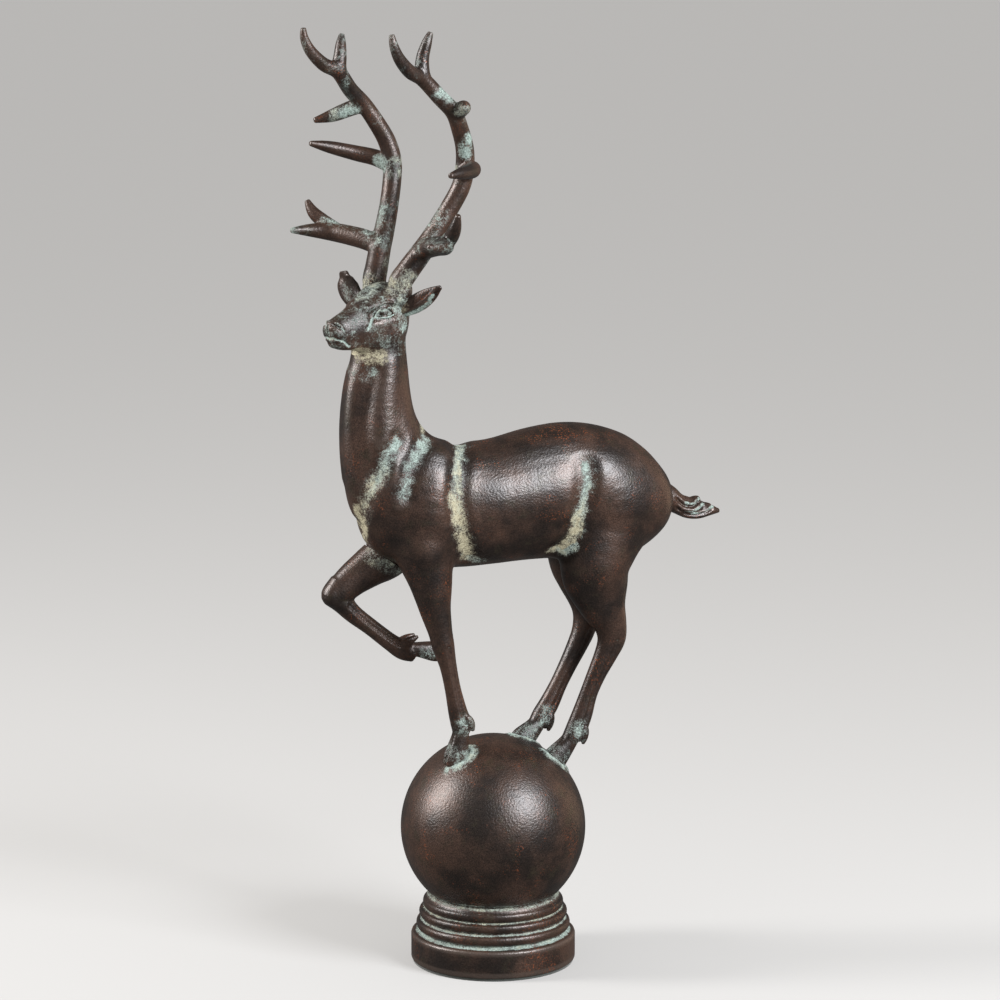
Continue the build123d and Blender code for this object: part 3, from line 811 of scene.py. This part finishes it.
def blank(mesh, cuts):
    """The part of the body's wax that a leg or the head grows out of."""
    bm = bmesh.new()
    bm.from_mesh(mesh)
    for point, away in cuts:
        trim(bm, point, away)
    return bm


def seat(wax):
    """Press the sole to the ball: nothing lies inside its surface."""
    way = wax.points - BALL_CENTRE
    gap = np.linalg.norm(way, axis=1)
    pressed = np.maximum(gap, BALL_RADIUS + 0.02)
    wax.points = BALL_CENTRE + way * (pressed / gap)[:, None]


PLANTED = (
    ("left_foreleg", LEFT_FORELEG, ((0, 1, 0), (1, 0, 0)), (-25.8, -11.8, 130), (-0.75, 0.1, -0.5)),
    ("left_hind_leg", LEFT_HIND_LEG, ((0, 1, 0), (-1, 0, 0)), (37.5, -10, 122), (-0.85, 0, 0.15)),
    ("right_hind_leg", RIGHT_HIND_LEG, ((0, -1, 0), (-1, 0, 0)), (24.0, 8, 131), (-0.9, 0, 0.25)),
)
for name, stations, sides, sole, toe in PLANTED:
    cuts = [((0, 0, LEG_JOINT + 3), (0, 0, 1))]
    cuts += [((15, 0, 0), away) for away in sides]
    bm = blank(body_mesh, cuts)
    fetlock = stations[-2][:3]
    hoof(bm, fetlock, sole, toe, (0, 1, 0))
    leg = Wax(fuse(bm, FINE_GRAIN))
    leg.fillet(12)
    leg.relax(3)
    seat(leg)
    bone = np.array([station[:3] for station in stations[6:-1]], float)
    for shift in (-5, 5):
        groove = bone + (1.2, shift, 0)
        leg.stroke(groove, 2.2, -0.7)
    leg.stain([sole], 12, 0.68, (0.1, 0.1))
    leg.stain([fetlock], 10, 0.46, (0.0, 0.0))
    cuts = [((0, 0, LEG_JOINT), (0, 0, 1))]
    leg.cast(f"{name}_casting", body_bronze, name, cuts, passes=5, depth=0.2)

# ---- raised foreleg: a casting of its own, bent at the knee and doweled to the shoulder ----
# A green crease is left where its sloping face meets the chest.
RIGHT_CANNON = [
    (-96, 14, 226, 6.0, 6.0),
    (-89.5, 14, 221.8, 6.4, 6.8),
    (-82, 14, 214, 5.5, 6.0),
    (-71.5, 14, 205.5, 5.0, 5.0),
    (-60.0, 14, 196, 5.2, 4.8),
    (-51.5, 14, 190, 5.8, 5.2),
    (-44.5, 14, 186.5, 4.4, 4.6),
]
KNEE_CAP = [(-90, 14, 233, 6.5, 6.8), (-95.8, 14, 226.3, 5.6, 7.0), (-93.5, 14, 222.5, 4.6, 6.4)]
bm = bmesh.new()
limb(bm, RIGHT_UPPER_ARM)
limb(bm, RIGHT_CANNON)
limb(bm, KNEE_CAP)
hoof(bm, (-51.5, 14, 190), (-33, 14, 189.6), (0, 0, -1), (0, 1, 0), 0.85)
raised = Wax(fuse(bm, FINE_GRAIN))
raised.fillet(25)
raised.relax(3)
raised.stroke([(-86, 8, 220), (-74, 9, 209), (-62, 9, 199.5), (-54, 9, 194)], 2.4, -0.8)
raised.stain([(-75, 3, 252), (-68, 1, 246), (-58, 1, 240), (-50, 3, 236)], 7, 0.55, (0.4, 0.2))
raised.stain([(-38, 9, 187)], 7, 0.5, (0.1, 0.1))
cuts = [(ARM_JOINT, ARM_JOINT_WAY)]
raised.cast("raised_foreleg_casting", body_bronze, "right_foreleg", cuts, passes=5, depth=0.2)

# ---- head: skull, muzzle and the top of the neck, cast hollow and joined at the throat ----
# It is turned to the stag's left; the lids, nostrils, lips and brows are cut into the wax.
HEAD_YAW = math.radians(25)
HEAD_PITCH = math.radians(8)
HEAD_ORIGIN = Vector((-65, 0, 411))
AHEAD = Vector((
    -math.cos(HEAD_YAW) * math.cos(HEAD_PITCH),
    -math.sin(HEAD_YAW) * math.cos(HEAD_PITCH),
    -math.sin(HEAD_PITCH),
))
LEFTWARD = Vector((math.sin(HEAD_YAW), -math.cos(HEAD_YAW), 0))
CROWN = AHEAD.cross(LEFTWARD)
SKULL_GRAIN = 0.7
FACE_GRAIN = 0.4
HEAD_DUST = 0.27
SKULL = [
    (-8.5, -8, -26, 7.0),
    (-6.5, -4.5, -31, 9.4),
    (-2, -0.5, -38, 12.2),
    (6, 1.5, -41, 14.4),
    (15, 0.5, -39, 13.6),
    (24, -3.5, -36, 11.2),
    (33, -7.8, -32.5, 8.6),
    (42, -10.3, -30, 7.2),
    (46.5, -11.8, -27, 6.2),
    (49, -14.5, -22, 3.6),
]


def on_head(points, side=1):
    """Points drawn forward, to the left and up from the crown, for the left or the right side."""
    rows = []
    for ahead, left, up in points:
        rows.append(tuple(HEAD_ORIGIN + AHEAD * ahead + LEFTWARD * left * side + CROWN * up))
    return rows


bm = blank(body_mesh, [((0, 0, NECK_JOINT - 4), (0, 0, -1))])
places = []
for along, top, bottom, half_width in filled(SKULL, 4):
    centre = Vector(on_head([(along, 0, (top + bottom) / 2)])[0])
    places.append(placed(centre, LEFTWARD * half_width, CROWN * ((top - bottom) / 2), AHEAD))
tube(bm, places)
for side in (-1, 1):
    pedicle = on_head([(1, 7.5, -12), (0.3, 9.6, -7), (0, 10.4, -3.5), (-0.3, 10.7, -1)], side)
    radii = (6.0, 7.2, 7.4, 7.1)
    limb(bm, [(*point, radius, radius) for point, radius in zip(pedicle, radii)], LEFTWARD)
skull = Wax(fuse(bm, SKULL_GRAIN))
skull.fillet(16)
skull.relax(3)
for side in (1, -1):
    for path, width, rise in (
        ([(24, 9, -9.5), (18, 12, -6.5), (12, 13.5, -5.5), (6, 14, -8.5)], 4.5, 1.5),
        ([(22.5, 10, -13), (15, 12.5, -13.4), (7.5, 14, -13.4)], 5.6, -2.3),
        ([(24, 9.5, -20), (16, 12.5, -19.5), (9, 14, -18.5)], 4.5, 0.35),
        ([(10, 13, -30), (17, 12, -30)], 10.0, 1.2),
        ([(47, 3.5, -15), (45, 5, -19)], 5.0, 0.9),
        ([(46.5, 2.0, -26), (42, 5.0, -28), (36, 6.2, -30)], 3.6, 0.8),
    ):
        skull.stroke(on_head(path, side), width, rise)
skull.stroke(on_head([(10, 0, 1), (18, 0, -1), (27, 0, -5)]), 6.0, -0.8)
skull.relax(3)

# The eyeballs and lids are laid on the wax, and run together with it.
# Asking for the normals first writes the worked points back to the mesh.
LID = (0.5, 1.0, 1.15, 1.0, 0.5)
FOLD = (0.5, 1.0, 1.0, 0.5)
skull.normals()
bm = bmesh.new()
bm.from_mesh(skull.mesh)
for side in (1, -1):
    middle = Matrix.Translation(on_head([(14.6, 10.3, -12.9)], side)[0])
    bmesh.ops.create_icosphere(bm, subdivisions=4, radius=3.0, matrix=middle)
    for path, out, radius, shares in (
        (
            [(21.6, 10, -14.6), (19, 12, -12), (15, 13.4, -10.8), (11.2, 14, -11.6), (8, 14.4, -13.8)],
            0.45, 0.8, LID,
        ),
        (
            [(21.6, 10, -14.6), (18, 12, -15.5), (13.6, 13.4, -15.9), (10, 14, -15.1), (8, 14.4, -13.8)],
            0.4, 0.7, LID,
        ),
        ([(21, 10, -9.4), (16, 12.6, -7.2), (11, 14, -7.8), (6.5, 14.5, -11)], 0.2, 0.75, FOLD),
    ):
        laid = skull.settle(on_head(path, side), out)
        radii = [radius * share for share in shares]
        limb(bm, [(*point, size, size) for point, size in zip(laid, radii)], CROWN)
head = Wax(fuse(bm, FACE_GRAIN))
head.relax(1)
for side in (1, -1):
    for path, width, rise in (
        ([(47.5, 2.6, -13.6), (46, 4.2, -14.4), (44.8, 5.2, -16.4)], 1.7, -1.7),
        ([(47, 4, -12), (44.4, 5.8, -13.4), (43.2, 6.4, -17)], 1.4, 0.7),
        (
            [(49.3, 0, -21.2), (47.5, 3, -20.9), (44, 5.2, -23.4), (40, 6.2, -27.3), (37.5, 6.4, -29)],
            1.2, -0.9,
        ),
        ([(48.5, 0, -22.8), (46.5, 3, -22.8), (43, 5.2, -25.4), (39, 6.2, -29)], 1.3, 0.6),
        ([(23, 9.6, -15.5), (27, 8.6, -20.5)], 1.8, -0.7),
    ):
        head.stroke(on_head(path, side), width, rise, 0.15)
head.stroke(on_head([(49.3, 0, -13), (49.6, 0, -20)]), 1.2, -0.7)
head.relax(1)
for side in (1, -1):
    for path, width, amount, cream in (
        ([(21.4, 10.2, -14.4), (19, 12.4, -12), (15, 14, -11), (11.2, 14.5, -11.8)], 0.7, 1.1, (0.2, 0.2)),
        ([(21.4, 10.2, -14.8), (18, 12.4, -15.7), (13.6, 14, -16), (9.5, 14.5, -14.8)], 0.8, 1.1, (0.2, 0.2)),
        ([(22.8, 9.8, -15), (25, 9.2, -18.5), (27, 8.6, -20.5)], 1.4, 0.95, (-0.2, -0.2)),
        ([(46.6, 4.4, -13.2), (44.4, 5.8, -14.2), (43.4, 6.2, -17.4)], 0.75, 0.9, (0.2, 0.2)),
        # Painted highlight: two pale vertical lines of crust down the front of the nose stand in for the
        # highlight that runs there.
        ([(49.0, 1.2, -14), (49.2, 1.2, -18)], 0.8, 0.6, (0.2, 0.2)),
        ([(48.8, 0.2, -21.8), (47, 3, -21.6), (43.6, 5.2, -24.2), (39.6, 6.2, -28)], 0.95, 1.2, (0.3, 0.1)),
        ([(4, 14, -8), (5, 14.5, -16), (2, 14, -25)], 7.0, 0.62, (0.3, 0.0)),
        ([(8, 11, -1), (1, 12, -5)], 8.0, 0.66, (0.5, 0.3)),
        ([(33, 3, -34.5), (26, 6, -37), (18, 9, -39)], 5.5, 0.85, (0.9, 0.8)),
        ([(20, 11, -26), (14, 13, -31), (22, 10, -31)], 8.0, 0.30, (0.1, 0.1)),
        ([(30, 8, -22), (24, 10, -24)], 7.0, 0.24, (0.0, 0.0)),
        ([(16, 10, -6), (24, 8, -10)], 7.0, 0.38, (0.0, 0.0)),
    ):
        head.stain(on_head(path, side), width, amount, cream)
head.stain(on_head([(18, 0, 0), (6, 0, 2), (-4, 0, -2)]), 11.0, 0.62, (0.2, 0.5))
head.stain(on_head([(20, 0, -1), (33, 0, -7)]), 9.0, 0.26, (0.0, 0.0))
head.verdigris = np.maximum(head.verdigris, HEAD_DUST)
head.cast("head_casting", body_bronze, "head", [((0, 0, NECK_JOINT), (0, 0, -1))], passes=5, depth=0.2)

# ---- ears: two thin leaf castings, hollowed and fixed at the back of the skull ----
# The left ear is laid back, so that its hollow shows as a slit; the right one stands wider.
EAR_GRAIN = 0.35
EARS = {
    1: [
        (2, 9, -17, 2.6, 3.5), (0, 14, -14.4, 2.8, 4.6), (-2.5, 19, -11.8, 2.6, 5.4),
        (-5, 25, -8.4, 2.2, 5.2), (-7.5, 30.5, -4.8, 1.6, 3.6), (-9.6, 34.8, -1.6, 0.9, 1.2),
    ],
    -1: [
        (3, 10, -16, 2.6, 5.0), (3.2, 18, -14.6, 2.8, 6.4), (3.2, 25, -11.4, 2.6, 8.0),
        (3.3, 29.6, -6.2, 2.4, 9.2), (3.2, 31.6, -1.0, 2.0, 8.4), (2.9, 32.6, 2.4, 1.6, 6.2),
        (2.8, 33.0, 4.2, 1.2, 3.6),
    ],
}
SLIT = [(3.5, 10, -20.0), (2.2, 15, -18.6), (0, 20.5, -16.6), (-3, 26, -12.4), (-6, 31, -7.6), (-8, 34, -3.6)]
BOWL = [(6, 18, -15), (6.5, 26, -11), (6, 30, -6), (5, 32, 0)]
for name, side in (("left_ear", 1), ("right_ear", -1)):
    bm = bmesh.new()
    centres = on_head([station[:3] for station in EARS[side]], side)
    limb(bm, [(*centre, *station[3:]) for centre, station in zip(centres, EARS[side])], CROWN)
    ear = Wax(fuse(bm, EAR_GRAIN))
    ear.fillet(16)
    ear.relax(3)
    if side == 1:
        slit = ear.settle(on_head(SLIT, side))
        ear.stroke(slit, 2.4, -1.6, 0.1)
        ear.stain(slit[:5], 1.8, 1.2, (-0.2, -0.2))
        ear.stroke([Vector(point) + CROWN * 3.0 for point in slit], 1.6, 0.4, 0.2)
        ear.stain(on_head([(2, 10, -16), (1, 15, -13)], side), 4.0, 0.5, (0.8, 0.8))
    else:
        bowl = ear.settle(on_head(BOWL, side))
        ear.stroke(bowl, 5.0, -1.0)
        ear.stain(bowl[:3], 6.0, 0.42, (0.3, 0.0))
        ear.stain(on_head([(4, 11, -19), (5, 12, -12)], side), 3.0, 0.8, (0.8, 0.8))
    ear.cast(f"{name}_casting", body_bronze, name, passes=5, depth=0.2)

# ---- antlers: a pair of branching castings, each doweled into its root on the skull ----
# The beams are round, with blunt dark tips and green where the tines fork.
ANTLER_GRAIN = 0.5
TIP = 1.6
BEAM = [
    (0, 10.4, -9), (-0.3, 10.7, 0), (-5.2, 12.9, 6.4), (-13.2, 17, 15.6), (-20.6, 20, 23.8),
    (-30.5, 24.3, 36.6), (-38.9, 28.5, 49.4), (-42.3, 30.2, 60.4), (-41.6, 32.5, 72.3),
    (-36.7, 35.3, 85.1), (-30.9, 37.5, 96), (-21.9, 37.2, 106.1), (-12.2, 35, 118.5),
    (-2.3, 35.7, 124.8), (5.4, 36.6, 133.6), (8.9, 37, 141.8), (9.3, 36.6, 148.2),
]
BEAM_RADII = [6.2, 6.9, 6.7, 6.4, 6.0, 5.6, 5.5, 5.5, 5.3, 5.0, 4.8, 4.6, 4.4, 4.0, 3.4, 2.6, TIP]
TOP_TINES = {
    1: [(-16, 35.4, 113.4), (-12.7, 34.9, 120.5), (-14, 34.6, 129.5), (-17.2, 36, 138), (-20.2, 37.2, 144)],
    -1: [(-16, 35.4, 113.4), (-13, 34.9, 120), (-14.7, 34.6, 127.6), (-17.6, 36, 134), (-20.2, 37.2, 139)],
}
SIDE_TINES = {
    1: [(-41.5, 29, 58), (-38.8, 39.5, 61), (-31, 47, 62.5), (-17.1, 54, 64.7), (-4.7, 57, 66)],
    -1: [(-41.5, 29, 57), (-39, 40, 61.7), (-31.2, 48.5, 65.6), (-17.1, 55.5, 71.8), (-4.7, 58, 76.5)],
}
UPPER_TINES = {
    1: [(-32.6, 36, 93.5), (-32.2, 43, 97.6), (-29.4, 48.5, 99.6), (-27, 52, 99.6)],
    -1: [(-32.6, 36, 96), (-25.5, 44, 93.4), (-17.3, 50, 90.8), (-7.5, 55.5, 89.5)],
}
BROW_TINES = {
    1: [
        (-13.5, 16.5, 16.5), (-11.4, 26, 20), (-8.2, 37, 22.8), (-4.5, 47, 24.6), (4.8, 53.5, 27.0),
        (17.5, 57, 29.6),
    ],
    -1: [
        (-13.5, 16.5, 16.5), (-11.4, 27, 20.2), (-8.2, 39, 22.8), (-4.5, 49, 24.6), (4.8, 55, 27.0),
        (17.5, 57.9, 29.6),
    ],
}
BROW_FORKS = {
    1: [(-8, 43, 24.6), (-6.5, 50.5, 29.4), (-4.5, 57, 36), (-4, 61.2, 44)],
    -1: [(-8, 46, 24.6), (-6, 54, 29.2), (-3.5, 60.5, 35.4), (-2.8, 64.2, 42.6)],
}
PATCHES = {
    1: [(-39.5, 36, 79), (-37.5, 38, 70), (-28, 38, 101), (-20, 38, 109)],
    -1: [(-24, 38, 94), (-20, 42, 92), (-30, 31, 58), (-38, 35, 60)],
}
for name, side in (("left_antler", 1), ("right_antler", -1)):
    bm = bmesh.new()
    for points, radii, across in (
        (BEAM, BEAM_RADII, (1, 0, 0)),
        (TOP_TINES[side], (4.0, 4.4, 3.8, 3.0, TIP), (1, 0, 0)),
        (SIDE_TINES[side], (5.0, 4.9, 4.6, 3.6, TIP), (0, 0, 1)),
        (UPPER_TINES[side], (4.6, 4.5, 3.8, TIP), (0, 0, 1)),
        (BROW_TINES[side], (5.6, 5.9, 5.7, 5.3, 3.9, TIP), (0, 0, 1)),
        (BROW_FORKS[side], (4.2, 4.3, 3.6, TIP), (1, 0, 0)),
    ):
        stations = [(*point, radius, radius) for point, radius in zip(on_head(points, side), radii)]
        limb(bm, stations, across)
    antler = Wax(fuse(bm, ANTLER_GRAIN))
    antler.fillet(10)
    antler.relax(3)
    for path, width, amount, cream in (
        (BEAM[:3], 10, 0.62, (0.6, 0.3)),
        (BEAM[2:6], 9, 0.44, (0.2, 0.0)),
        (BEAM[6:], 7, 0.27, (0.0, 0.0)),
        (SIDE_TINES[side][:1], 9, 0.55, (0.3, 0.3)),
        (UPPER_TINES[side][1:3], 7, 0.62, (0.3, 0.3)),
        (BROW_TINES[side], 8, 0.36, (0.0, 0.0)),
        (BROW_FORKS[side][:2], 7, 0.62, (0.1, 0.1)),
        (TOP_TINES[side], 7, 0.30, (0.0, 0.0)),
        (PATCHES[side][:2], 6, 1.0, (0.2, 0.0)),
        (PATCHES[side][2:], 6, 0.9, (0.2, 0.0)),
    ):
        antler.stain(on_head(path, side), width, amount, cream)
    antler.cast(f"{name}_casting", body_bronze, name, passes=5, depth=0.2)

# ---- tail: a short casting carved as curling locks, doweled to the rump ----
TAIL_GRAIN = 0.35
TAIL = [
    (104, 0, 276.5, 9.5, 6.5),
    (111, 0, 273.4, 7.6, 6.4),
    (117, 0, 269.6, 6.2, 6.0),
    (124, 0, 266.6, 6.4, 5.6),
    (131, 0, 265.0, 5.6, 4.8),
    (138, 0, 264.3, 3.4, 3.6),
    (144, 0, 263.5, 1.2, 1.6),
]
CURL = [
    (119, 0, 267.5, 3.6, 4.4),
    (124.5, 0, 269.2, 3.4, 4.0),
    (128.6, 0, 271.0, 2.7, 3.4),
    (131, 0, 272.0, 1.6, 2.4),
]
LOCK = [(129, 0, 265.0, 3.6, 4.2), (134.5, 0, 266.4, 3.0, 3.4), (138.5, 0, 266.8, 1.5, 2.0)]
bm = bmesh.new()
for stations in (TAIL, CURL, LOCK):
    limb(bm, stations)
tail = Wax(fuse(bm, TAIL_GRAIN))
tail.relax(2)
for path in (
    [(113.6, -5, 274.1), (119, -5, 269.3), (125.2, -5, 268.2), (129.5, -4, 270.8)],
    [(114, -6, 268), (119.8, -6, 264.4), (126, -5, 264.5), (132.2, -4, 268.5)],
    [(118, -6, 263), (124.4, -5, 262), (132.2, -4, 263.3), (138.4, -3, 265.9)],
):
    for lock in both_sides(path):
        carved = tail.settle(lock)
        tail.stroke(carved, 1.7, -1.5, 0.1)
        tail.stroke([Vector(point) + Vector((0.6, 0, 1.9)) for point in carved], 1.6, 0.6, 0.2)
        tail.stain([Vector(point) + Vector((0.6, 0, 1.2)) for point in carved[1:]], 1.5, 0.9, (-0.2, -0.2))
tail.stain([(106, -5, 284), (105, -7, 276), (106, -6, 269)], 2.2, 0.7, (0.6, 0.3))
tail.cast("tail_casting", body_bronze, "tail", passes=4, depth=0.2)
